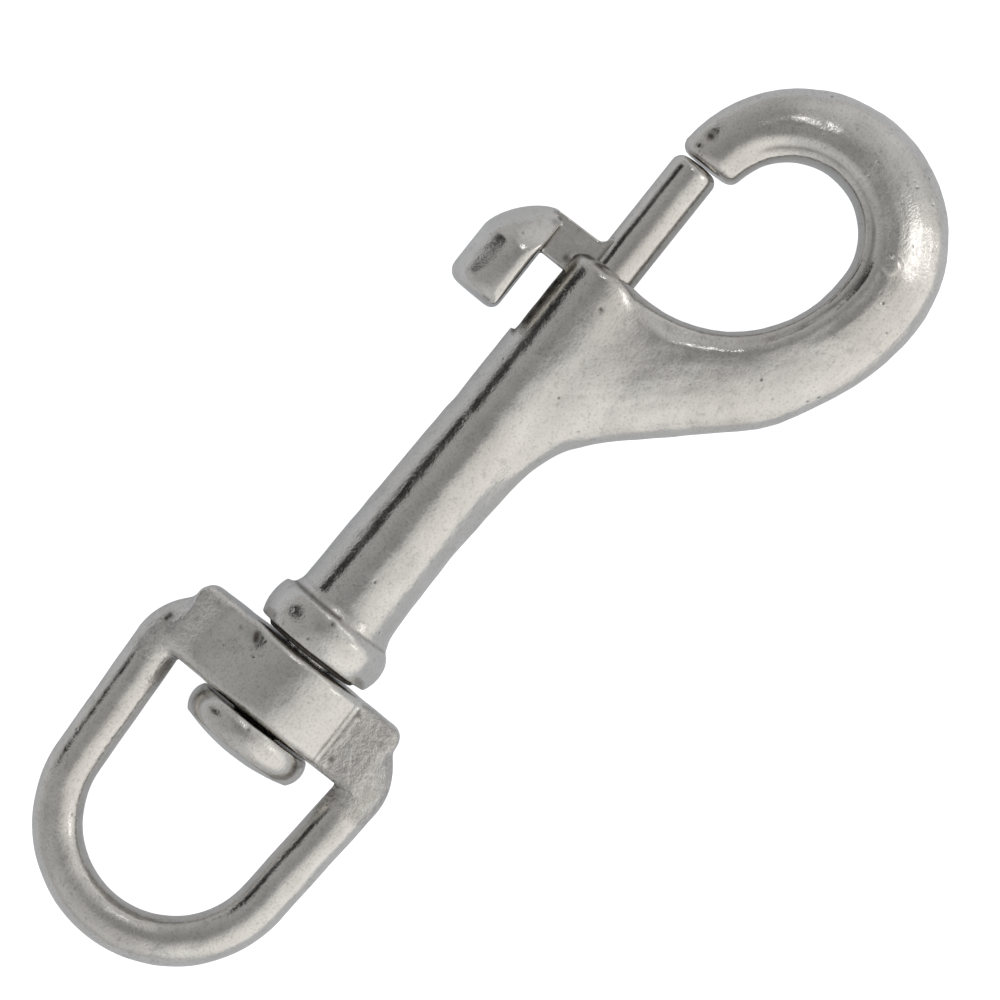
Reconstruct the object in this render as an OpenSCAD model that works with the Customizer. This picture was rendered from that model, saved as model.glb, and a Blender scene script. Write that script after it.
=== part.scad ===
// A swivel snap hook: a cast hook closed by a sliding bolt with a thumb lever, and a cast
// D-shaped eye that turns on a headed pin at the back of the barrel.
// X runs along the barrel towards the hook, +Y is the thumb lever's side and Z is up.
// Lengths along X are measured from the mouth of the barrel, where the bolt comes out,
// and distances in Y and Z from the axis of the barrel.

/* [View] */
// Piece to show

/* [Barrel] */
// Radius of the barrel at its mouth
mouth_r = 4.7; // [4.55:0.05:5]
// Length of the barrel's straight front part
straight_len = 19.6; // [18:0.1:24]
// Swell of the barrel behind its straight part
swell = 0.12; // [0.05:0.01:0.2]
// Radius of the barrel in front of the collar
root_r = 5.35; // [5.2:0.05:5.6]
// Length of the barrel from its mouth to the collar
barrel_len = 44; // [43:0.1:50]
// Rounding of the rim at the mouth
rim_round = 1.5; // [0.8:0.1:1.8]
// Greatest radius of the collar
collar_r = 6.85; // [6.5:0.05:7]
// Length of the collar along the barrel
collar_len = 4.25; // [3.6:0.05:5]
// Rise of the collar's crown above its two edges
collar_crown = 0.45; // [0.2:0.05:0.6]
// Radius of the rough shoulder that the eye bears on
shoulder_r = 5.1; // [4.5:0.05:5.6]
// Length of the shoulder behind the collar
shoulder_len = 0.5; // [0.3:0.05:1]
// Solid wall between the bottom of the bolt's bore and the end of the pin
bore_wall = 3.45; // [1.5:0.05:5]

/* [Hook] */
// Length of the opening from the mouth of the barrel to its far end
opening_len = 21.1; // [20.5:0.05:22]
// Radius of the opening's far end
opening_r = 7.05; // [6.8:0.05:7.3]
// Radius of the opening's lower back corner
belly_r = 13.6; // [12:0.05:13.9]
// Distance from the bolt's axis to the inner side of the hook tip
tip_drop = 4.05; // [3.7:0.05:4.4]
// Distance from the mouth of the barrel to the face of the hook tip
tip_x = 14; // [13.5:0.1:14.5]
// Rounding of the hook tip's end
tip_round = 1.1; // [0.6:0.1:1.4]
// Radius of the hook's outer bow
bow_r = 15; // [14.6:0.05:15.4]
// Width of the hook at its front
front_w = 8.25; // [7.6:0.05:9]
// Width of the hook at its bottom
bottom_w = 9.15; // [8.4:0.05:10]
// Thickness of the hook at its bottom
hook_t = 7.9; // [7:0.1:9]
// Thickness of the hook at its tip
tip_t = 6.6; // [6:0.1:7.5]
// Thickness of the web that joins the hook to the barrel
web_t = 7.4; // [6.6:0.1:8]
// Depth of the groove beside the rim of the opening
groove_depth = 0.28; // [0.1:0.02:0.4]

/* [Bolt] */
// Radius of the sliding bolt
bolt_r = 2.53; // [2.3:0.01:2.6]
// Rounding of the bolt's front end
bolt_round = 1.1; // [0.6:0.1:1.6]
// Length of the bolt inside the barrel when the hook is shut
bolt_tail = 19.3; // [17:0.1:21]
// Radial clearance between the bolt and its bore
bolt_play = 0.09; // [0.04:0.01:0.1]
// Gap between the shut bolt and the hook tip
tip_gap = 0.25; // [0.15:0.05:0.4]
// How far the bolt slides back
travel = 7.4; // [6:0.1:7.6]

/* [Thumb lever] */
// Distance of the arm's back edge behind the mouth of the barrel
arm_back = 2.8; // [2.5:0.1:3.2]
// Distance of the arm's front edge in front of the mouth
arm_front = 1.6; // [1.3:0.05:1.9]
// Thickness of the arm
arm_t = 3.1; // [2.6:0.1:3.4]
// Fillet between the arm and the bolt
arm_fillet = 0.9; // [0.5:0.1:1.4]
// Distance from the bolt's axis to the underside of the thumb pad
pad_under = 7.15; // [6.8:0.05:7.6]
// Distance from the bolt's axis to the pad's own axis
pad_axis = 8.2; // [7.9:0.05:8.4]
// Radius of the half-round thumb pad
pad_r = 5; // [4.5:0.05:5.4]
// Length of the thumb pad
pad_len = 12; // [11:0.1:13]
// Length of the pad's rounded front end
pad_nose = 5.7; // [5:0.1:6.2]
// Rounding of the pad's back end
pad_round = 1.5; // [0.8:0.1:2]
// Rounding of the pad's lower edges
pad_edge = 1.1; // [0.6:0.1:1.4]
// Clearance between the arm and each side of its slot
slot_play = 0.3; // [0.2:0.05:0.5]

/* [Spring] */
// Radius of the spring wire
wire_r = 0.3; // [0.25:0.01:0.35]
// Number of turns in the spring
coils = 8; // [7:1:9]
// Clearance between the spring and the bore
spring_play = 0.3; // [0.2:0.05:0.4]

/* [Eye] */
// Radius of the eye's rod
rod_r = 2.55; // [2.3:0.05:2.8]
// Mean radius of the eye's bow
eye_r = 11.75; // [11.3:0.05:12.1]
// Distance from the crossbar's inner face to the centre of the bow
eye_reach = 13.2; // [12.5:0.05:14]
// Splay of each side rod away from the axis, in degrees
splay = 3.5; // [1:0.1:4]
// Mean radius of the elbows between the side rods and the crossbar
elbow_r = 4.9; // [4.6:0.1:5.4]
// Width of the crossbar along the barrel's axis
bar_w = 8.15; // [7.6:0.05:8.6]
// Length of the crossbar
bar_len = 24.6; // [24:0.1:25]
// Thickness of the crossbar's two ends
bar_t = 6.2; // [5.8:0.1:6.6]
// Thickness of the crossbar's domed middle
boss_t = 12.6; // [12:0.1:13.4]
// Radius of the dome across the crossbar's middle
boss_r = 10.4; // [10:0.1:11.5]
// Rounding of the crossbar's long edges
bar_round = 1.1; // [0.6:0.1:1.4]
// Radius of the round corner at each end of the crossbar's barrel side
corner_r = 1.7; // [1.4:0.1:2]
// How far those corners stand out past the ends of the crossbar
corner_out = 0.3; // [0.1:0.05:0.5]

/* [Pin] */
// Radius of the pin's shank
pin_r = 2.5; // [2.2:0.05:2.8]
// Length of the shank that is pressed into the barrel
pin_grip = 10; // [8:0.1:11]
// Radius of the pin's head
head_r = 6.9; // [6.5:0.05:7]
// Length of the head's rim
head_len = 2.9; // [2.4:0.1:3.2]
// Rise of the rim's crown above its two edges
head_crown = 0.5; // [0.3:0.05:0.7]
// Rise of the head's domed face
head_dome = 1.15; // [0.8:0.05:1.5]
// Radial clearance between the pin and the eye
pin_play = 0.1; // [0.06:0.01:0.1]
// Gap on each side of the crossbar along the pin
end_play = 0.25; // [0.15:0.05:0.35]

/* [Hidden] */
$fn = 72;
steel = [0.66, 0.64, 0.61];
bright = [0.72, 0.71, 0.69];
wire = [0.5, 0.5, 0.52];
cut = 0.5;

bore_r = bolt_r + bolt_play;
bolt_end = tip_x - tip_gap;
arm_half = arm_t / 2;
slot_half = arm_half + slot_play;
slot_back = arm_back + travel + slot_play;

opening_cx = opening_len - opening_r;
bottom_in = -(tip_drop + 2 * opening_r);
bottom_out = bottom_in - bottom_w;
bow_cx = opening_len + front_w - bow_r;
bow_cy = bottom_out + bow_r;

shoulder_x = -(barrel_len + collar_len + shoulder_len);
bore_depth = -(shoulder_x + pin_grip) - bore_wall;
bar_front = shoulder_x - end_play;
bar_back = bar_front - bar_w;
head_x = bar_back - end_play;
bow_x = bar_back - eye_reach;
side_run = eye_reach + eye_r * sin(splay);
side_y = eye_r * cos(splay) + side_run * tan(splay);
elbow_x = bar_back + elbow_r * sin(splay);
elbow_y = side_y - elbow_r * cos(splay);

// Middle of the part's box along and across the barrel, and its height above the box's bottom
mid_x = (opening_len + front_w + bow_x - eye_r - rod_r) / 2;
mid_y = (elbow_y + elbow_r + rod_r + bottom_out) / 2;
rest_z = max(collar_r, head_r);

// Points on an arc from angle a to angle b
function arc(c, r, a, b, n) = [for (i = [0:n]) let(t = a + (b - a) * i / n) c + r * [cos(t), sin(t)]];

// Points on a crown that joins (r0, x0) to (r0, x1) and rises by h in between
function crown(r0, x0, x1, h, n) = let(
  half = abs(x1 - x0) / 2,
  r = (half * half + h * h) / (2 * h),
  a = asin(half / r) * sign(x1 - x0)
) arc([r0 + h - r, (x0 + x1) / 2], r, -a, a, n);

// Corners of a w by h rectangle about the origin with rounded corners
function rounded(w, h, r) = [
  for (q = [0:3]) each arc(
    [(q == 0 || q == 3 ? 1 : -1) * (w / 2 - r), (q < 2 ? 1 : -1) * (h / 2 - r)],
    r, 90 * q, 90 * q + 90, 5)
];

// A solid turned about the X axis from points given as [radius, x]
module turned(points) rotate([0, 90, 0]) rotate_extrude() polygon(points);

// A rod of radius r along X from a to b
module rod(r, a, b) translate([a, 0, 0]) rotate([0, 90, 0]) cylinder(r = r, h = b - a);

// A piece of a ring in the XY plane about the centre c, from angle a to angle b
module bend(c, r, tube, a, b) translate(c) rotate([0, 0, a])
  rotate_extrude(angle = b - a) translate([r, 0]) circle(r = tube, $fn = 40);

// Point reached from p with heading h after a stretch that turns evenly by the angle turn
function ahead(p, h, dist, turn) = abs(turn) < 0.001
  ? p + dist * [cos(h), sin(h)]
  : p + dist / (turn * PI / 180) * [sin(h + turn) - sin(h), cos(h) - cos(h + turn)];

// Point at the distance s along a chain of stretches, each given as [length, turn]
function along(path, s, p, h, i = 0) = s <= path[i][0] || i == len(path) - 1
  ? ahead(p, h, s, path[i][1] * s / path[i][0])
  : along(path, s - path[i][0], ahead(p, h, path[i][0], path[i][1]), h + path[i][1], i + 1);

function ease(t) = let(u = min(max(t, 0), 1)) u * u * (3 - 2 * u);
function mix(a, b, t) = a + (b - a) * ease(t);

// Inner outline behind the bottom: the belly, the wall under the mouth, then a turn into the barrel
belly_len = belly_r * PI / 2;
sink_y = 1.9;
sink_r = 1.4;
wall_len = -(bottom_in + belly_r) - sink_y - sink_r;
run_len = 31;
inner_path = [
  [opening_cx - belly_r, 0],
  [belly_len, -90],
  [wall_len, 0],
  [sink_r * PI / 2, 90],
  [run_len, 0]
];

// Outer outline behind the bottom: the sweep up to the web and the hollow below the barrel
outer_path = [[10.5, -24], [4.9, -3], [4.7, -19.5], [13.5, -0.5], [11.5, 44], [8, 0]];

// Lengths along the inner outline paired with lengths along the outer one
wall_end = opening_cx - belly_r + belly_len;
pairs = [
  [0, 0],
  [wall_end, 27.8],
  [wall_end + wall_len + sink_r * PI / 2, 31],
  [wall_end + wall_len + sink_r * PI / 2 + run_len, 53.1]
];
back_len = pairs[3][0];

// One section of the hook, as [inner point, outer point, half thickness, inner rounding, outer
// rounding, groove depth]
function front_section(t) = let(
  inner_start = asin((tip_x + tip_round - opening_cx) / opening_r),
  outer_start = asin((tip_x + tip_round - bow_cx) / bow_r),
  a = inner_start + (180 - inner_start) * t,
  b = outer_start + (180 - outer_start) * t
) [
  [opening_cx + opening_r * sin(a), bottom_in + opening_r + opening_r * cos(a)],
  [bow_cx + bow_r * sin(b), bow_cy + bow_r * cos(b)],
  mix(tip_t, hook_t, t * 1.6) / 2,
  1.2,
  mix(3.9, 6.7, t * 1.5),
  groove_depth * ease(t * 4)
];

function back_section(s) = [
  along(inner_path, s, [opening_cx, bottom_in], 180),
  along(outer_path, lookup(s, pairs), [bow_cx, bottom_out], 180),
  mix(mix(hook_t, web_t, s / wall_end), web_t - 1.4, (s - wall_end) / (back_len - wall_end)) / 2,
  mix(1.2, 1.7, s / wall_end),
  mix(6.7, 9.4, s / wall_end) - 6.9 * ease((s - wall_end) / (back_len - wall_end)),
  groove_depth * (1 - ease((s - wall_end) / 3))
];

// Upper half of a section as [distance from the inner point, height]: a steep inner wall, a
// raised rim, a shallow groove, the broad crown and the rounded outer side
function upper_half(width, half, ri, ro, groove) = let(
  drop = min(0.55, half / 6),
  flat = width - ri - ro,
  dip = ri + 0.95,
  steps_in = 4,
  steps_top = 6,
  steps_out = 8
) [
  for (i = [0:steps_in]) let(a = 90 * i / steps_in)
    [ri * (1 - cos(a)), (half - drop) * pow(sin(a), 0.75)],
  for (i = [1:steps_top]) let(t = i / steps_top, d = ri + flat * t)
    [d, half - drop * pow(1 - t, 2) - groove * exp(-pow((d - dip) / 0.6, 2))],
  for (i = [1:steps_out]) let(a = 90 * i / steps_out)
    [width - ro + ro * sin(a), half * pow(max(cos(a), 0), 0.9)]
];

// A section as points in space, up over the top and back along the bottom
function ring(section) = let(
  p = section[0],
  side = (section[1] - p) / norm(section[1] - p),
  half = upper_half(norm(section[1] - p), section[2], section[3], section[4], section[5])
) [
  for (v = half) [p[0] + side[0] * v[0], p[1] + side[1] * v[0], v[1]],
  for (i = [len(half) - 2:-1:1])
    [p[0] + side[0] * half[i][0], p[1] + side[1] * half[i][0], -half[i][1]]
];

// The first section drawn in towards its middle, which rounds the end of the tip
function tip_ring(a) = let(
  first = front_section(0),
  mid = (first[0] + first[1]) / 2,
  inset = tip_round * (1 - cos(a)),
  shrink_y = 1 - inset / (norm(first[1] - first[0]) / 2),
  shrink_z = 1 - inset / first[2]
) [
  for (v = ring(first))
    [v[0] - tip_round * sin(a), mid[1] + (v[1] - mid[1]) * shrink_y, v[2] * shrink_z]
];

front_steps = 30;
back_steps = 34;
tip_steps = 3;

module hook_limb() {
  rings = [
    for (i = [0:tip_steps - 1]) tip_ring(90 - 90 * i / tip_steps),
    for (i = [0:front_steps]) ring(front_section(i / front_steps)),
    for (i = [1:back_steps]) ring(back_section(back_len * i / back_steps))
  ];
  n = len(rings[0]);
  last = len(rings) - 1;
  polyhedron(
    points = [for (r = rings) each r],
    faces = [
      [for (j = [n - 1:-1:0]) j],
      for (i = [0:last - 1], j = [0:n - 1]) let(k = (j + 1) % n)
        each [[i * n + j, i * n + k, (i + 1) * n + k], [i * n + j, (i + 1) * n + k, (i + 1) * n + j]],
      [for (j = [0:n - 1]) last * n + j]
    ]
  );
}

// The barrel with its rounded mouth, the flare up to the collar, the collar and the shoulder
module barrel() {
  edge_r = collar_r - collar_crown;
  back = -(barrel_len + collar_len);
  flare_r = 1.6;
  flare_a = 57;
  turned([
    [0, shoulder_x],
    [shoulder_r, shoulder_x],
    [shoulder_r, back],
    each crown(edge_r, back, -barrel_len, collar_crown, 8),
    each arc([root_r + flare_r, flare_r * sin(flare_a) - barrel_len], flare_r, 180 + flare_a, 180, 5),
    [mouth_r + swell, -straight_len - 1.5],
    [mouth_r, -straight_len],
    each arc([mouth_r - rim_round, -rim_round], rim_round, 0, 90, 6),
    [0, 0]
  ]);
}

module hook_body() color(steel) difference() {
  union() {
    barrel();
    hook_limb();
  }
  rod(bore_r, -bore_depth, tip_x - 2 * cut);
  translate([-slot_back, 0, -slot_half]) cube([slot_back + cut, mouth_r + 2, 2 * slot_half]);
  rod(pin_r, shoulder_x - cut, shoulder_x + pin_grip);
}

// The thumb pad: a half-round bar with a tapered nose, cut flat below with rounded edges
module thumb_pad() intersection() {
  translate([arm_front, pad_axis, 0]) turned([
    [0, -pad_len],
    each arc([pad_r - pad_round, pad_round - pad_len], pad_round, 270, 360, 5),
    for (a = [0:9:90]) [pad_r * pow(cos(a), 4 / 3), pad_nose * (pow(sin(a), 4 / 3) - 1)]
  ]);
  translate([arm_front - pad_len - cut, pad_under + pad_r, 0]) rotate([90, 0, 90])
    linear_extrude(pad_len + 2 * cut) polygon(rounded(2 * pad_r, 2 * pad_r, pad_edge));
  translate([arm_front, pad_under + pad_r, -pad_r - cut]) linear_extrude(2 * (pad_r + cut))
    polygon(rounded(2 * pad_len, 2 * pad_r, pad_edge));
}

// The flat arm that carries the pad, filleted into the bolt at its front
module lever_arm() translate([0, 0, -arm_half]) linear_extrude(arm_t) polygon([
  [-arm_back, 0],
  [arm_front + arm_fillet, 0],
  each arc([arm_front + arm_fillet, bolt_r + arm_fillet - 0.1], arm_fillet, 270, 180, 5),
  [arm_front - 0.1, pad_axis],
  [-arm_back, pad_axis]
]);

module sliding_bolt() color(bright) {
  turned([
    [0, -bolt_tail],
    [bolt_r - 0.3, -bolt_tail],
    [bolt_r, 0.3 - bolt_tail],
    each arc([bolt_r - bolt_round, bolt_end - bolt_round], bolt_round, 0, 90, 6),
    [0, bolt_end]
  ]);
  lever_arm();
  thumb_pad();
}

// A wire coil between the bolt's tail and the bottom of the bore
module bolt_spring() color(wire) {
  start = wire_r + 0.05 - bore_depth;
  stop = -bolt_tail - wire_r - 0.05;
  coil_r = bore_r - spring_play - wire_r;
  per_turn = 16;
  around = 6;
  steps = coils * per_turn;
  polyhedron(
    points = [
      for (i = [0:steps], j = [0:around - 1]) let(
        a = 360 * i / per_turn,
        b = 360 * j / around,
        r = coil_r + wire_r * cos(b)
      ) [start + (stop - start) * i / steps + wire_r * sin(b), r * cos(a), r * sin(a)]
    ],
    faces = [
      [for (j = [around - 1:-1:0]) j],
      for (i = [0:steps - 1], j = [0:around - 1]) let(
        k = (j + 1) % around,
        m = i * around
      ) each [[m + j, m + k, m + around + k], [m + j, m + around + k, m + around + j]],
      [for (j = [0:around - 1]) steps * around + j]
    ]
  );
}

// One side of the eye: the straight rod, splayed a little, and the elbow into the crossbar
module eye_side() {
  lap = 0.3;
  translate([bow_x - eye_r * sin(splay), eye_r * cos(splay), 0]) rotate([0, 0, splay])
    rod(rod_r - 0.01, -lap, side_run / cos(splay) + lap);
  bend([elbow_x, elbow_y, 0], elbow_r, rod_r, 32, 90 + splay);
}

// The flat ends of the crossbar, rounded on every long edge
module crossbar() intersection() {
  translate([0, 0, -bar_t / 2]) linear_extrude(bar_t) union() {
    translate([(bar_front + bar_back) / 2, 0]) polygon(rounded(bar_w, bar_len, 1.3));
    for (side = [-1, 1])
      translate([bar_front - corner_r, side * (bar_len / 2 + corner_out - corner_r)])
        circle(r = corner_r, $fn = 40);
  }
  translate([(bar_front + bar_back) / 2, bar_len / 2 + 2 * corner_out, 0]) rotate([90, 0, 0])
    linear_extrude(bar_len + 4 * corner_out) polygon(rounded(bar_w, bar_t, bar_round));
}

// The crossbar's middle: two shallow domes across the bar, back to back
module boss() intersection() {
  boss_dome(-1);
  boss_dome(1);
}

module boss_dome(side) translate([0, 0, side * (boss_r - boss_t / 2)]) turned([
  [0, bar_back],
  each arc([boss_r - bar_round, bar_back + bar_round], bar_round, 270, 360, 5),
  each arc([boss_r - bar_round, bar_front - bar_round], bar_round, 0, 90, 5),
  [0, bar_front]
]);

module swivel_eye() color(steel) difference() {
  union() {
    bend([bow_x, 0, 0], eye_r, rod_r, 90 + splay, 270 - splay);
    eye_side();
    mirror([0, 1, 0]) eye_side();
    crossbar();
    boss();
  }
  rod(pin_r + pin_play, bar_back - cut, bar_front + cut);
}

module swivel_pin() color(bright) turned([
  [0, shoulder_x + pin_grip - 0.05],
  [pin_r - 0.3, shoulder_x + pin_grip - 0.05],
  [pin_r - 0.02, shoulder_x + pin_grip - 0.35],
  [pin_r - 0.02, head_x],
  each crown(head_r - head_crown, head_x, head_x - head_len, head_crown, 8),
  for (i = [0:5]) let(
    r = (head_r - head_crown - 0.15) * (1 - i / 6)
  ) [r, head_x - head_len - head_dome * (1 - pow(r / head_r, 2))],
  [0, head_x - head_len - head_dome]
]);

// Moves a piece so that the part's origin is the middle of its box's bottom face
module placed() translate([-mid_x, -mid_y, rest_z]) children();

placed() hook_body();
placed() sliding_bolt();
placed() bolt_spring();
placed() swivel_eye();
placed() swivel_pin();
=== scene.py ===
# A swivel snap hook in tumbled cast stainless steel, lying flat on a pale floor.
# Metres, in the part's frame: +X along the barrel to the hook, +Y to the thumb lever, +Z up.
# Places on the pieces are in millimetres from the middle of the barrel's mouth: see in_mm.
import math

import bmesh
import bpy
import numpy as np
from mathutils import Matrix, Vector


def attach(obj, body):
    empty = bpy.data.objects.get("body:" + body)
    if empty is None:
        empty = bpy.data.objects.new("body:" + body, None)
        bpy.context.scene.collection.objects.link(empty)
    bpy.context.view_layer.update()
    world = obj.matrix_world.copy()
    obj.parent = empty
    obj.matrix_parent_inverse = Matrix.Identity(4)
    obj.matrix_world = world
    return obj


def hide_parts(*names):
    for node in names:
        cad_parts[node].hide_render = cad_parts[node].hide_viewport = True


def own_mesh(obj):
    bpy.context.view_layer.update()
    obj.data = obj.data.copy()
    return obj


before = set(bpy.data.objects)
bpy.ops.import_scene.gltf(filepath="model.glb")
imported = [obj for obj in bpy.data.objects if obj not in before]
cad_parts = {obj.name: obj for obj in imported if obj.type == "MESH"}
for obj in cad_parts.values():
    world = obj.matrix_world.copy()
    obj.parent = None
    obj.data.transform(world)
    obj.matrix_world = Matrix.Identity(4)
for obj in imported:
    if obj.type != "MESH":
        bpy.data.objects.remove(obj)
scene = bpy.context.scene


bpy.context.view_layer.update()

MM = 0.001
MERGE_DISTANCE = 2e-6

# In metres: the barrel's axis and mouth.
AXIS_Y = 0.006081
AXIS_Z = 0.0069
MOUTH_X = 0.02765

# Voxel of each remesh, in mm.
BODY_VOXEL = 0.25
EYE_VOXEL = 0.175
SMALL_VOXEL = 0.15

# The hook's opening in its plane: x, y and radius of the round end and of the belly, and the x of
# the flat wall.
ROUND_END = (14.05, -11.1, 7.05)
BELLY = (14.05, -4.55, 13.6)
WALL_X = 0.45

# The eye's crossbar: height of the boss's crown and of the bar beside it, the boss's radius, the
# bar's middle along the barrel, and where the boss and the bar end across it.
BOSS_CROWN = 6.3
BAR_FLAT = 3.1
BOSS_RADIUS = 10.4
BAR_X = -52.6
BOSS_STEP_Y = -7.6
BAR_END_Y = 13.0

# Places on the hook and the thumb pad, seen from above.
CASTING_MARK = (17.55, -21.2)
BOW_CROWN = (21.4, -21.6)
NOSE_FLANK = (24.2, -5.3)
NECK_LINE_X = -43.8
PAD_SPOT_Y = 10.9
BORE_SIDE = 3.4

# Dark spots on the upper side: x, y, radius and strength.
BODY_STAINS = [
    (16.6, 0.9, 0.38, 1.5), (16.8, -1.3, 0.25, 0.6), (-3.8, -1.3, 0.2, 1.1),
    (-44.7, 0.0, 0.22, 1.4), (-45.6, 1.0, 0.25, 0.5), (-1.2, 4.2, 0.6, 0.6), (-0.3, 1.7, 0.4, 0.5),
]
EYE_STAINS = [
    (-50.2, 5.3, 0.34, 1.3), (-50.7, 5.0, 0.34, 1.3), (-54.7, 13.4, 0.25, 1.3),
    (-54.2, 13.3, 0.25, 1.3), (-55.4, -8.2, 0.3, 0.9), (-50.3, -7.6, 0.25, 0.8),
    (-50.3, 10.2, 0.35, 0.5), (-50.7, 7.0, 0.2, 0.6), (-51.3, 0.2, 0.2, 0.6),
]
PIN_STAINS = [(-58.0, 0.0, 0.22, 0.8), (-57.3, 2.0, 0.4, 0.5), (-58.3, 0.9, 0.2, 0.6)]
LEVER_STAINS = [(0.3, 7.7, 0.35, 0.5)]
BODY_DENTS = [(16.6, 0.9, 0.8, 0.09), (-3.8, -1.3, 0.3, 0.05)]
EYE_DENTS = [(-50.6, 5.4, 0.75, 0.24)]


# Meshes

def merged_copy(node, name):
    """A closed copy of a node's mesh with its doubled vertices merged."""
    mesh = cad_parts[node].data.copy()
    mesh.name = name
    bm = bmesh.new()
    bm.from_mesh(mesh)
    bmesh.ops.remove_doubles(bm, verts=bm.verts, dist=MERGE_DISTANCE)
    bmesh.ops.recalc_face_normals(bm, faces=bm.faces)
    bm.to_mesh(mesh)
    bm.free()
    mesh.materials.clear()
    piece = bpy.data.objects.new(name, mesh)
    scene.collection.objects.link(piece)
    return piece


def remesh(piece, voxel_mm):
    """Rebuilds the piece's mesh from voxels, as one even closed skin."""
    mod = piece.modifiers.new("remesh", "REMESH")
    mod.mode = "VOXEL"
    mod.voxel_size = voxel_mm * MM
    mod.use_smooth_shade = True
    deps = bpy.context.evaluated_depsgraph_get()
    mesh = bpy.data.meshes.new_from_object(piece.evaluated_get(deps))
    piece.modifiers.clear()
    old = piece.data
    piece.data = mesh
    mesh.name = piece.name
    bpy.data.meshes.remove(old)


def get_points(mesh):
    co = np.empty(len(mesh.vertices) * 3)
    mesh.vertices.foreach_get("co", co)
    return co.reshape(-1, 3)


def set_points(mesh, co):
    mesh.vertices.foreach_set("co", co.ravel())
    mesh.update()


def point_normals(mesh):
    normals = np.empty(len(mesh.vertices) * 3)
    mesh.vertices.foreach_get("normal", normals)
    return normals.reshape(-1, 3)


def facing_up(piece, start, soft):
    """1 on the faces that look up or down, falling to 0 on steep sides."""
    return np.clip((np.abs(point_normals(piece.data)[:, 2]) - start) / soft, 0, 1)


def neighbours(mesh):
    """The ends of each edge, and how many edges meet at each vertex."""
    edges = np.empty(len(mesh.edges) * 2, dtype=np.int64)
    mesh.edges.foreach_get("vertices", edges)
    count = np.bincount(edges, minlength=len(mesh.vertices)).astype(float)[:, None]
    return edges.reshape(-1, 2), count


def neighbour_mean(co, edges, count):
    near = np.zeros_like(co)
    for k in range(3):
        near[:, k] = (
            np.bincount(edges[:, 0], co[edges[:, 1], k], len(co))
            + np.bincount(edges[:, 1], co[edges[:, 0], k], len(co))
        )
    return near / count


def relax(piece, weight, rounds, shrink_guard=True):
    """Evens out the surface by moving each vertex towards its neighbours, as far as weight lets it.
    The guard pushes back every other round, so that only the finest unevenness goes."""
    edges, count = neighbours(piece.data)
    co = get_points(piece.data)
    w = np.broadcast_to(weight, len(co))[:, None]
    for i in range(rounds):
        pull = 0.6 if not shrink_guard or i % 2 == 0 else -0.62
        co = co + pull * w * (neighbour_mean(co, edges, count) - co)
    set_points(piece.data, co)


def band(x, low, high, soft):
    """1 between low and high, falling to 0 over soft on each side."""
    t = np.clip(np.minimum(x - (low - soft), (high + soft) - x) / soft, 0, 1)
    return t * t * (3 - 2 * t)


def finish_piece(piece, node, body, material):
    piece.data.materials.clear()
    piece.data.materials.append(material)
    for face in piece.data.polygons:
        face.use_smooth = True
    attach(piece, body)
    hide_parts(node)


# Materials

class Nodes:
    """Adds shader nodes to one material."""

    def __init__(self, name):
        self.material = bpy.data.materials.new(name)
        self.material.use_nodes = True
        self.tree = self.material.node_tree
        self.shader = self.tree.nodes["Principled BSDF"]
        self.coord = self.tree.nodes.new("ShaderNodeTexCoord").outputs["Object"]

    def link(self, source, socket):
        if isinstance(source, bpy.types.NodeSocket):
            self.tree.links.new(source, socket)
        else:
            socket.default_value = source

    def mapped(self, scale, turn):
        node = self.tree.nodes.new("ShaderNodeMapping")
        self.link(self.coord, node.inputs["Vector"])
        node.inputs["Scale"].default_value = scale
        node.inputs["Rotation"].default_value = turn
        return node.outputs["Vector"]

    def noise(self, scale, detail=2.0, rough=0.5, vector=None):
        node = self.tree.nodes.new("ShaderNodeTexNoise")
        self.link(vector if vector is not None else self.coord, node.inputs["Vector"])
        node.inputs["Scale"].default_value = scale
        node.inputs["Detail"].default_value = detail
        node.inputs["Roughness"].default_value = rough
        return node.outputs["Fac"]

    def cells(self, scale):
        node = self.tree.nodes.new("ShaderNodeTexVoronoi")
        self.link(self.coord, node.inputs["Vector"])
        node.inputs["Scale"].default_value = scale
        return node.outputs["Distance"]

    def span(self, value, low, high, to_low=0.0, to_high=1.0):
        node = self.tree.nodes.new("ShaderNodeMapRange")
        node.clamp = True
        self.link(value, node.inputs["Value"])
        ends = {"From Min": low, "From Max": high, "To Min": to_low, "To Max": to_high}
        for key, end in ends.items():
            node.inputs[key].default_value = end
        return node.outputs["Result"]

    def math(self, op, a, b=0.0):
        node = self.tree.nodes.new("ShaderNodeMath")
        node.operation = op
        self.link(a, node.inputs[0])
        self.link(b, node.inputs[1])
        return node.outputs["Value"]

    def mix(self, factor, a, b):
        node = self.tree.nodes.new("ShaderNodeMix")
        node.data_type = "RGBA"
        self.link(factor, node.inputs["Factor"])
        self.link(a if isinstance(a, bpy.types.NodeSocket) else (*a, 1), node.inputs[6])
        self.link(b if isinstance(b, bpy.types.NodeSocket) else (*b, 1), node.inputs[7])
        return node.outputs[2]

    def bump(self, height, strength, distance, normal=None):
        node = self.tree.nodes.new("ShaderNodeBump")
        self.link(height, node.inputs["Height"])
        node.inputs["Strength"].default_value = strength
        node.inputs["Distance"].default_value = distance
        if normal is not None:
            self.link(normal, node.inputs["Normal"])
        return node.outputs["Normal"]

    def attribute(self, name):
        node = self.tree.nodes.new("ShaderNodeAttribute")
        node.attribute_type = "GEOMETRY"
        node.attribute_name = name
        return node.outputs["Fac"]


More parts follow.
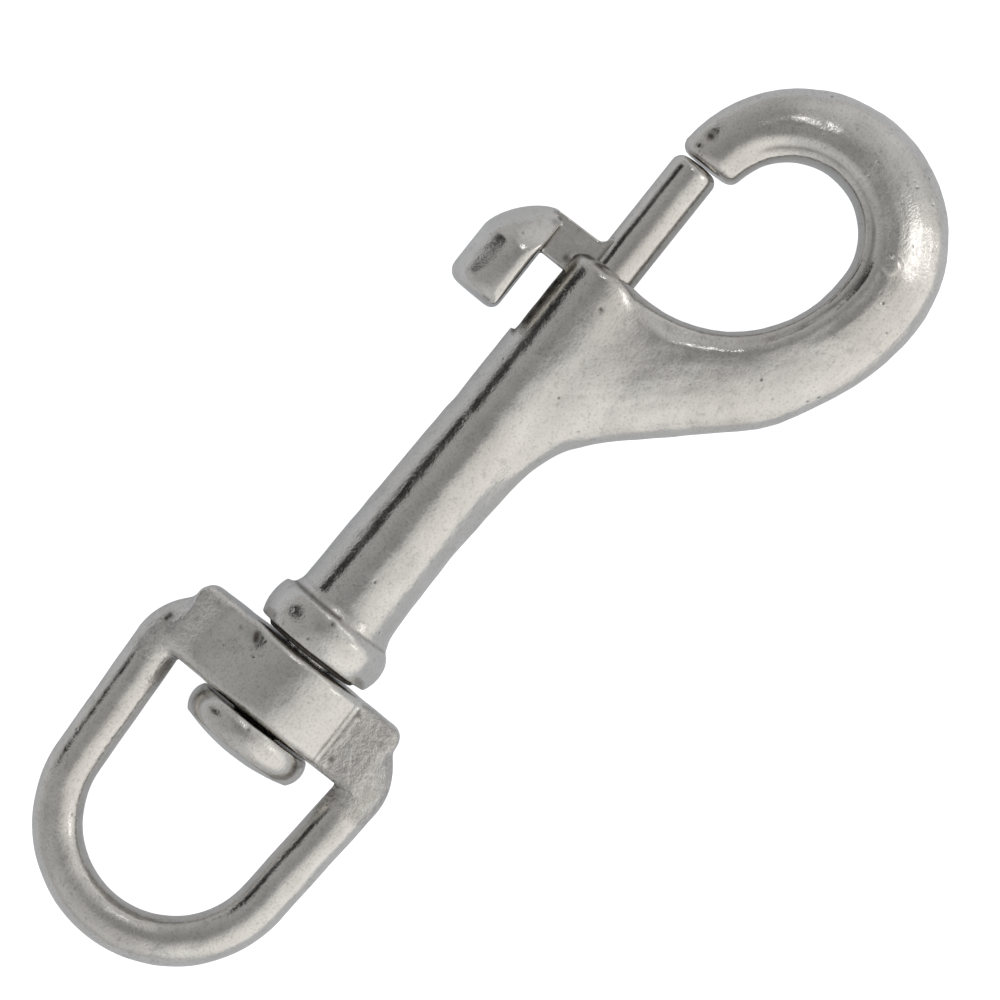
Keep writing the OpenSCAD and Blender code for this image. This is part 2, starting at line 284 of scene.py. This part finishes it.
def cast_steel(name, grain_size=1.0, ripple_size=1.0, specks=1.0):
    """Tumbled cast stainless: satin, with soft ripples, fine grain, pits and hairline scratches."""
    n = Nodes(name)
    rough_zone = n.attribute("rough")
    grime_and_shade = n.attribute("grime_and_shade")
    cavity = n.attribute("cavity")
    ripple = n.noise(330, 2, 0.5)
    cloud = n.noise(190, 5, 0.7)
    mottle = n.noise(900, 3, 0.6)
    stain = n.noise(75, 3, 0.6)
    grain = n.noise(3600, 3, 0.65)
    pits = n.math(
        "MULTIPLY", n.span(n.cells(850), 0.04, 0.2, 1, 0), n.span(n.noise(260, 2, 0.5), 0.57, 0.68)
    )
    base = n.mix(n.span(cloud, 0.3, 0.7), (0.56, 0.545, 0.52), (0.68, 0.662, 0.634))
    base = n.mix(n.span(stain, 0.45, 0.75, 0, 0.5), base, (0.60, 0.565, 0.52))
    base = n.mix(n.span(mottle, 0.42, 0.3, 0, 0.3 * specks), base, (0.33, 0.32, 0.3))
    base = n.mix(n.span(grain, 0.5, 0.25, 0, 0.42 * specks), base, (0.26, 0.25, 0.24))
    base = n.mix(n.math("MULTIPLY", pits, 0.75), base, (0.14, 0.125, 0.115))
    creases = n.span(n.noise(1150, 4, 0.72), 0.36, 0.62)
    base = n.mix(
        n.math("MULTIPLY", n.math("MULTIPLY", rough_zone, n.math("SUBTRACT", 1.0, creases)), 0.35),
        base, (0.22, 0.2, 0.18),
    )
    # Painted shade and dirt: grooves and corners found by the cavity mask are darkened towards
    # brown-black.
    crease_shade_and_dirt = n.math("MULTIPLY", cavity, n.span(cloud, 0.25, 0.6, 0.45, 1.0))
    base = n.mix(crease_shade_and_dirt, base, (0.10, 0.085, 0.07))
    # Painted shade and grime: the grime mask's places go near-black; on the hook's body these
    # include painted shade in the neck's gap, the bore and the slot, and elsewhere real smears and
    # stains.
    soot_and_shade = n.math("MULTIPLY", grime_and_shade, n.span(grain, 0.3, 0.6, 0.8, 1.0))
    base = n.mix(soot_and_shade, base, (0.056, 0.042, 0.033))
    n.link(base, n.shader.inputs["Base Color"])
    rough = n.math("ADD", n.span(cloud, 0.3, 0.7, 0.12, 0.2), n.math("MULTIPLY", rough_zone, 0.12))
    rough = n.math("ADD", rough, n.math("MULTIPLY", n.math("MAXIMUM", grime_and_shade, crease_shade_and_dirt), 0.35))
    n.link(rough, n.shader.inputs["Roughness"])
    n.link(n.span(n.math("MAXIMUM", grime_and_shade, crease_shade_and_dirt), 0, 1, 1, 0.3), n.shader.inputs["Metallic"])
    scratch = n.span(n.noise(55, 2, 0.6, n.mapped((1.2, 60, 60), turn=(0, 0, 0.45))), 0.67, 0.71)
    nick = n.span(n.noise(70, 2, 0.6, n.mapped((40, 2, 40), turn=(0, 0, -0.3))), 0.68, 0.72)
    normal = n.bump(ripple, 0.25 * ripple_size, 0.0004)
    normal = n.bump(cloud, 0.11 * ripple_size, 0.0003, normal)
    normal = n.bump(mottle, 0.13 * grain_size, 0.0001, normal)
    normal = n.bump(grain, 0.34 * grain_size, 0.00006, normal)
    normal = n.bump(n.math("MULTIPLY", pits, -1.0), 0.6, 0.0001, normal)
    normal = n.bump(n.math("ADD", scratch, nick), -0.15, 0.00003, normal)
    normal = n.bump(n.math("MULTIPLY", rough_zone, creases), 0.6, 0.00016, normal)
    n.link(normal, n.shader.inputs["Normal"])
    return n.material


def spring_steel():
    n = Nodes("spring_wire")
    streak = n.noise(900, 3, 0.6)
    n.link(n.mix(streak, (0.42, 0.42, 0.43), (0.56, 0.56, 0.57)), n.shader.inputs["Base Color"])
    n.shader.inputs["Metallic"].default_value = 1.0
    n.link(n.span(streak, 0.3, 0.7, 0.25, 0.4), n.shader.inputs["Roughness"])
    n.link(n.bump(streak, 0.2, 0.00005), n.shader.inputs["Normal"])
    return n.material


# Shaping

def in_mm(co):
    """Points in millimetres from the mouth of the barrel and its axis."""
    return (co - np.array([MOUTH_X, AXIS_Y, AXIS_Z])) / MM


def points_mm(piece):
    return in_mm(get_points(piece.data))


def from_axis(p):
    return np.hypot(p[:, 1], p[:, 2])


def off_bore(p, soft):
    """0 in and beside the bore and the pin's hole, rising to 1 over soft."""
    return np.clip((from_axis(p) - BORE_SIDE) / soft, 0, 1)


def set_mask(piece, name, values):
    layer = piece.data.attributes.new(name, "FLOAT", "POINT")
    layer.data.foreach_set("value", np.clip(values, 0, 1).astype(np.float32))


def mark_cavities(piece, rounds, low, high, more=0.0):
    """Stores how far each point lies in a groove or corner, for the painted shade and dirt that
    darken it there.
    """
    edges, count = neighbours(piece.data)
    start = get_points(piece.data)
    co = start.copy()
    for _ in range(rounds):
        co += 0.7 * (neighbour_mean(co, edges, count) - co)
    depth = ((co - start) * point_normals(piece.data)).sum(1) / MM
    t = np.clip((depth - low) / (high - low), 0, 1)
    set_mask(piece, "cavity", t * t * (3 - 2 * t) + more)


def waves(co, size, seed, count=9):
    """Soft unevenness of a casting: a sum of waves of about the given size in seeded directions."""
    draw = np.random.RandomState(seed)
    total = np.zeros(len(co))
    for _ in range(count):
        way = draw.normal(size=3)
        way /= np.linalg.norm(way)
        length = size * draw.uniform(0.7, 1.5)
        total += np.sin(co @ way * (2 * np.pi / length) + draw.uniform(0, 6.28))
    return total / math.sqrt(count)


def push_out(piece, amount):
    """Moves each vertex along its normal by amount, in metres."""
    set_points(piece.data, get_points(piece.data) + point_normals(piece.data) * amount[:, None])


def bell(x, middle, width):
    """A smooth bump that is 1 at middle and near 0 from twice the width on."""
    return np.exp(-(((x - middle) / width) ** 2))


def from_point(p, x, y):
    return np.hypot(p[:, 0] - x, p[:, 1] - y)


def spots(p, places):
    """Round marks on the upper side: each place is x, y, radius and strength."""
    total = np.zeros(len(p))
    for x, y, radius, strength in places:
        total += strength * bell(from_point(p, x, y), 0, radius)
    return total * (p[:, 2] > 0.5)


def fill_web(piece, barrel_r=4.75, slope_deg=12.0, blend=0.4):
    """Fills the corner between barrel and web with a slope that leaves the barrel's crown."""
    co = get_points(piece.data)
    p = in_mm(co)
    height = np.abs(p[:, 2])
    slope = math.radians(slope_deg)
    line = barrel_r * math.cos(slope) - math.tan(slope) * (-p[:, 1] - barrel_r * math.sin(slope))
    gap = height - line
    filled = 0.5 * (height + line + np.sqrt(gap * gap + blend * blend))
    facing = facing_up(piece, 0.25, 0.35)
    ramp_in = np.clip((p[:, 0] + 19) / 9, 0, 1)
    ramp_out = np.clip((-0.3 - p[:, 0]) / 1.5, 0, 1)
    start = np.clip((-p[:, 1] - 0.6) / 1.2, 0, 1)
    end = np.clip((p[:, 1] + 8) / 2.5, 0, 1)
    weight = facing * ramp_in * ramp_out * start * end
    co[:, 2] += np.sign(p[:, 2]) * (filled - height) * weight * MM
    set_points(piece.data, co)


def from_opening(p):
    """Distance from the edge of the hook's opening, in the hook's plane."""
    round_end = from_point(p, *ROUND_END[:2]) - ROUND_END[2]
    belly = from_point(p, *BELLY[:2]) - BELLY[2]
    behind = np.where(p[:, 1] < BELLY[1], belly, WALL_X - p[:, 0])
    return np.where(p[:, 0] > ROUND_END[0], round_end, behind)


def line_rim(piece):
    """Sharpens the lip round the opening and the groove beside it, and rounds the crown beyond."""
    d = from_opening(points_mm(piece))
    away = np.clip((d - 0.25) / 0.5, 0, 1) * np.clip((6.0 - d) / 2.0, 0, 1)
    relax(piece, 0.8 * away, rounds=3, shrink_guard=False)
    co = get_points(piece.data)
    p = in_mm(co)
    d = from_opening(p)
    back = np.clip((8 - p[:, 0]) / 8, 0, 1)
    crown_at, groove_at = 2.15 + 0.5 * back, 1.3 + 0.55 * back
    change = 0.17 * (1 - 0.5 * back) * bell(d, crown_at, 0.65)
    change -= (0.21 - 0.07 * back) * bell(d, groove_at, 0.52)
    in_hook = np.where(
        (p[:, 1] > -9) & (p[:, 0] > 6),
        np.clip((p[:, 0] - 16.5) / 4, 0, 1),
        np.clip((-p[:, 1] - 4.5) / 3, 0, 1),
    )
    co[:, 2] += np.sign(p[:, 2]) * change * facing_up(piece, 0.35, 0.3) * in_hook * MM
    set_points(piece.data, co)
    relax(piece, np.clip((4.2 - np.abs(d)) / 1.5, 0, 1), rounds=8)
    low_side = back * np.clip((-p[:, 1] - 6) / 3, 0, 1) * band(d, 0.9, 3.2, 0.6)
    relax(piece, 0.7 * low_side, rounds=6, shrink_guard=False)


def beside_barrel(p):
    """Where the web runs into the barrel."""
    radial = from_axis(p)
    along = band(p[:, 0], -44, -1.6, 1.4)
    close = band(radial, 4.2, 7.2, 1.2)
    below = np.clip((-p[:, 1] - 0.2) / 1.5, 0, 1)
    return along * close * below


def raise_on_top(piece, change):
    """Adds change, in mm, to the crossbar's height above and below the hook's plane."""
    co = get_points(piece.data)
    p = in_mm(co)
    lift = np.clip((np.abs(p[:, 2]) - 1.2) / 1.9, 0, 1)
    co[:, 2] += np.sign(p[:, 2]) * change(p) * lift * band(p[:, 0], -60, -46, 0.5) * MM
    set_points(piece.data, co)


def long_shoulder(p):
    """Runs the boss out in a long soft shoulder on the lever's side."""
    y = p[:, 1]
    run, end_slope = 9.4, -0.3
    t = np.clip(y / run, 0, 1)
    shoulder = (2 * t**3 - 3 * t**2 + 1) * BOSS_CROWN + (3 * t**2 - 2 * t**3) * BAR_FLAT
    shoulder += (t**3 - t**2) * end_slope * run
    arch = np.sqrt(BOSS_RADIUS**2 - np.clip(y, 0, 7.5) ** 2) - (BOSS_RADIUS - BOSS_CROWN)
    return np.where((y > 0) & (y < run), shoulder - np.maximum(arch, BAR_FLAT), 0)


def step_and_dent(p):
    """The crisp step at the boss's other end, and a small dent near its front."""
    step = 0.13 * bell(p[:, 1], BOSS_STEP_Y, 0.3) - 0.14 * bell(p[:, 1], -7.05, 0.26)
    return step - spots(p, EYE_DENTS)


def crown_boss(piece):
    """Rounds the boss slightly along the barrel, so that it shines in patches."""
    co = get_points(piece.data)
    p = in_mm(co)
    lift = np.clip((np.abs(p[:, 2]) - 3.1) / 1.2, 0, 1)
    on_boss = lift * band(p[:, 0], -59, -47, 0.5) * band(p[:, 1], BOSS_STEP_Y, 8.4, 1.2)
    drop = 0.20 * ((p[:, 0] - BAR_X) / 4.1) ** 2
    co[:, 2] -= np.sign(p[:, 2]) * on_boss * drop * MM
    set_points(piece.data, co)


def crown_pad(piece):
    """Rounds the thumb pad along its length, and widens the flat where its dark spot shows."""
    co = get_points(piece.data)
    p = in_mm(co)
    on_pad = band(p[:, 1], 7.9, 20, 1.2) * (p[:, 0] < 4)
    along = np.clip((p[:, 0] + 5.0) / 4.5, -1.5, 1.0)
    co[:, 2] -= (co[:, 2] - AXIS_Z) * on_pad * 0.10 * along**2
    thumb = bell(p[:, 0], -4.6, 1.9) * bell(p[:, 1], PAD_SPOT_Y, 0.95)
    co[:, 2] -= (co[:, 2] - AXIS_Z) * thumb * 0.016
    set_points(piece.data, co)


# Pieces

steel = cast_steel("cast_stainless")
polished = cast_steel("bolt_stainless", grain_size=0.6, ripple_size=0.7, specks=0.8)


def shape_hook(body):
    remesh(body, BODY_VOXEL)
    relax(body, 1.0, rounds=6)
    fill_web(body)
    relax(body, beside_barrel(points_mm(body)), rounds=60, shrink_guard=False)
    line_rim(body)
    p = points_mm(body)
    upper = p[:, 2] > 1
    mark = np.clip((1.15 - from_point(p, *CASTING_MARK)) / 0.38, 0, 1) * upper
    outside = off_bore(p, 0.6)
    flats = 0.06 * bell(from_point(p, *BOW_CROWN), 0, 2.2)
    flats -= 0.05 * bell(from_point(p, *NOSE_FLANK), 0, 1.7)
    neck_line = 0.10 * bell(p[:, 0], NECK_LINE_X, 0.3) * outside
    cast_waves = 0.022 * waves(p, size=4.0, seed=11) * outside
    push_out(body, (0.17 * mark - flats - neck_line + cast_waves) * MM)
    push_out(body, -spots(p, BODY_DENTS) * MM)


def mask_hook(body):
    p = points_mm(body)
    radial = from_axis(p)
    height = np.abs(p[:, 2])
    # Painted shade: the neck's gap and the inside of the bore and slot are made near-black in the
    # mask below.
    in_neck = band(p[:, 0], -49.5, -48.2, 0.15) * (radial < 5.7)
    in_slot = band(p[:, 0], -10.6, 0.5, 0.3) * (height < 2.1) * (p[:, 1] > 2.4) * (radial < 4.1)
    in_bore = (p[:, 0] < -1.0) * (radial < 3.0) + in_slot
    by_slot = bell(height, 2.0, 0.5) * (p[:, 1] > 2) * band(p[:, 0], -10.8, -0.3, 0.5)
    by_mouth = band(p[:, 0], -0.55, 0.5, 0.35) * band(p[:, 1], 0.5, 6, 1.5)
    smear = np.clip(0.45 + 0.5 * waves(p, size=1.3, seed=31), 0, 1) * np.maximum(by_slot, by_mouth)
    set_mask(body, "rough", in_neck)
    set_mask(body, "grime_and_shade", 0.9 * in_neck + 0.85 * in_bore + smear + spots(p, BODY_STAINS))
    # Painted shade: a dark ring round the casting mark's edge, added to the crease darkening.
    mark_edge = bell(from_point(p, *CASTING_MARK), 1.05, 0.16) * (p[:, 2] > 1)
    mark_cavities(body, rounds=8, low=0.012, high=0.06, more=0.3 * mark_edge)


body = merged_copy("hook_body", "hook_casting")
shape_hook(body)
mask_hook(body)
finish_piece(body, "hook_body", "hook", steel)


def shape_bolt(bolt):
    remesh(bolt, SMALL_VOXEL)
    relax(bolt, 1.0, rounds=6)
    crown_pad(bolt)
    arm_root = bell(from_point(points_mm(bolt), -3.3, 8.7), 0, 1.0)
    relax(bolt, arm_root, rounds=40, shrink_guard=False)


def mask_bolt(bolt):
    p = points_mm(bolt)
    worn = bell(p[:, 0], -6.6, 1.6) * bell(p[:, 1], PAD_SPOT_Y, 1.1)
    arm_foot = band(p[:, 0], -2.9, -1.2, 0.9) * band(p[:, 1], 2.4, 4.6, 0.8)
    smear = 0.85 * arm_foot * (0.5 + 0.5 * waves(p, size=1.2, seed=3))
    set_mask(bolt, "rough", 0.5 * arm_foot + 0.4 * worn)
    set_mask(bolt, "grime_and_shade", smear + spots(p, LEVER_STAINS))
    mark_cavities(bolt, rounds=8, low=0.01, high=0.05)


bolt = merged_copy("sliding_bolt", "bolt_and_lever")
shape_bolt(bolt)
mask_bolt(bolt)
finish_piece(bolt, "sliding_bolt", "bolt", polished)


def shape_eye(eye):
    remesh(eye, EYE_VOXEL)
    relax(eye, 1.0, rounds=10)
    raise_on_top(eye, long_shoulder)
    p = points_mm(eye)
    past_boss = np.where(p[:, 1] > 0, p[:, 1] - 5.0, -p[:, 1] - 7.9)
    ends = facing_up(eye, 0.25, 0.35) * band(p[:, 0], -61.0, -50.3, 1.0) * np.clip(past_boss, 0, 1)
    relax(eye, ends, rounds=50, shrink_guard=False)
    p = points_mm(eye)
    nub = bell(np.hypot(p[:, 0] - BAR_X, np.abs(p[:, 1]) - BAR_END_Y), 0, 2.8)
    relax(eye, 0.95 * nub, rounds=44, shrink_guard=False)
    raise_on_top(eye, step_and_dent)
    relax(eye, 1.0, rounds=6)
    p = points_mm(eye)
    push_out(eye, 0.02 * waves(p, size=4.5, seed=5) * off_bore(p, 0.6) * MM)
    crown_boss(eye)


def mask_eye(eye):
    p = points_mm(eye)
    ends = band(p[:, 1], -14.5, -7.9, 0.7) + 0.4 * band(p[:, 1], 9.8, 14.5, 1.0)
    set_mask(eye, "rough", band(p[:, 0], -58.5, -49.5, 1.2) * ends)
    set_mask(eye, "grime_and_shade", spots(p, EYE_STAINS))
    mark_cavities(eye, rounds=10, low=0.016, high=0.09)


eye = merged_copy("swivel_eye", "eye_casting")
shape_eye(eye)
mask_eye(eye)
finish_piece(eye, "swivel_eye", "eye", steel)

pin = merged_copy("swivel_pin", "headed_pin")
remesh(pin, SMALL_VOXEL)
relax(pin, 1.0, rounds=6)
points = points_mm(pin)
on_head = np.clip(off_bore(points, 1.5) + (points[:, 0] < -60.0), 0, 1)
push_out(pin, 0.015 * waves(points, size=2.6, seed=23) * on_head * MM)
set_mask(pin, "rough", np.zeros(len(points)))
set_mask(pin, "grime_and_shade", spots(points, PIN_STAINS))
mark_cavities(pin, rounds=8, low=0.012, high=0.06)
finish_piece(pin, "swivel_pin", "hook", steel)

spring = merged_copy("bolt_spring", "coil_spring")
finish_piece(spring, "bolt_spring", "hook", spring_steel())
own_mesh(spring)


# Floor

floor_mesh = bpy.data.meshes.new("floor")
bm = bmesh.new()
bmesh.ops.create_grid(bm, x_segments=1, y_segments=1, size=0.6)
bm.to_mesh(floor_mesh)
bm.free()
floor = bpy.data.objects.new("floor", floor_mesh)
scene.collection.objects.link(floor)
paper = Nodes("paper")
paper.shader.inputs["Base Color"].default_value = (0.80, 0.83, 0.88, 1)
paper.shader.inputs["Roughness"].default_value = 0.9
light_path = paper.tree.nodes.new("ShaderNodeLightPath")
glow = paper.math(
    "ADD",
    paper.math("MULTIPLY", light_path.outputs["Is Camera Ray"], 0.86),
    paper.math("MULTIPLY", light_path.outputs["Is Glossy Ray"], 0.1),
)
paper.shader.inputs["Emission Color"].default_value = (1, 1, 1, 1)
paper.link(glow, paper.shader.inputs["Emission Strength"])
floor_mesh.materials.append(paper.material)

# Light: a sky of soft boxes, one small lamp and a dark card, and two lamps near the hook

world = bpy.data.worlds.new("studio")
scene.world = world
world.use_nodes = True
sky_tree = world.node_tree
ray = sky_tree.nodes.new("ShaderNodeTexCoord").outputs["Generated"]


def sky_math(op, a, b):
    node = sky_tree.nodes.new("ShaderNodeMath")
    node.operation = op
    for value, socket in ((a, node.inputs[0]), (b, node.inputs[1])):
        if isinstance(value, bpy.types.NodeSocket):
            sky_tree.links.new(value, socket)
        else:
            socket.default_value = value
    return node.outputs["Value"]


def patch(azimuth, tilt, full, none):
    """1 within the angle full of a direction in the sky, falling to 0 at the angle none.
    The direction is given by its azimuth from +X and its tilt from straight up, in degrees."""
    a, t = math.radians(azimuth), math.radians(tilt)
    dot = sky_tree.nodes.new("ShaderNodeVectorMath")
    dot.operation = "DOT_PRODUCT"
    sky_tree.links.new(ray, dot.inputs[0])
    way = (math.sin(t) * math.cos(a), math.sin(t) * math.sin(a), math.cos(t))
    dot.inputs[1].default_value = way
    node = sky_tree.nodes.new("ShaderNodeMapRange")
    node.interpolation_type = "SMOOTHSTEP"
    sky_tree.links.new(dot.outputs["Value"], node.inputs["Value"])
    node.inputs["From Min"].default_value = math.cos(math.radians(none))
    node.inputs["From Max"].default_value = math.cos(math.radians(full))
    return node.outputs["Result"]


near_box = patch(-90, 62, 20, 64)
card = patch(90, 67, 10.5, 14.5)
sky = sky_math("SUBTRACT", 0.54, sky_math("MULTIPLY", patch(0, 0, 20, 78), 0.19))
for box, strength in (
    (near_box, 0.60),
    (patch(190, 42, 8, 48), 0.24),
    (patch(0, 60, 8, 42), 0.22),
    (patch(90, 42, 5, 28), 0.07),
    (patch(-55, 60, 2, 5), 2.7),
):
    sky = sky_math("ADD", sky, sky_math("MULTIPLY", box, strength))
sky = sky_math("MULTIPLY", sky, sky_math("SUBTRACT", 1.0, sky_math("MULTIPLY", card, 0.95)))
background = sky_tree.nodes["Background"]
sky_tree.links.new(sky, background.inputs["Strength"])
tint = sky_tree.nodes.new("ShaderNodeMix")
tint.data_type = "RGBA"
sky_tree.links.new(near_box, tint.inputs["Factor"])
tint.inputs[6].default_value = (1.0, 1.0, 1.0, 1)
tint.inputs[7].default_value = (1.01, 1.0, 0.975, 1)
sky_tree.links.new(tint.outputs[2], background.inputs["Color"])


def lamp_at(name, size, watts, spot_mm, way, far):
    """A disk lamp at a distance far along way from a spot of the hook that it lights up."""
    data = bpy.data.lights.new(name, "AREA")
    data.shape = "DISK"
    data.size = size
    data.energy = watts
    lamp = bpy.data.objects.new(name, data)
    x, y, z = spot_mm
    spot = Vector((MOUTH_X + x * MM, AXIS_Y + y * MM, AXIS_Z + z * MM))
    lamp.location = spot + far * Vector(way).normalized()
    lamp.rotation_euler = (spot - lamp.location).to_track_quat("-Z", "Y").to_euler()
    scene.collection.objects.link(lamp)


lamp_at(
    "hook_lamp", size=0.012, watts=0.0036, spot_mm=(24.25, -5.5, 3.5), way=(0.42, 0.26, 0.87),
    far=0.15,
)
lamp_at(
    "crown_lamp", size=0.020, watts=0.0012, spot_mm=(21.4, -21.8, 3.35), way=(0.40, -0.50, 0.77),
    far=0.055,
)

# Camera: half a metre above the barrel's axis, which runs 51.44 degrees above the image's right

cam_data = bpy.data.cameras.new("camera")
cam_data.sensor_width = 36
cam_data.lens = 180
camera = bpy.data.objects.new("camera", cam_data)
camera.location = (2.87 * MM, 0.84 * MM, AXIS_Z + 0.5)
camera.rotation_euler = (0, 0, math.radians(-51.44))
scene.collection.objects.link(camera)
scene.camera = camera

scene.view_settings.view_transform = "Standard"
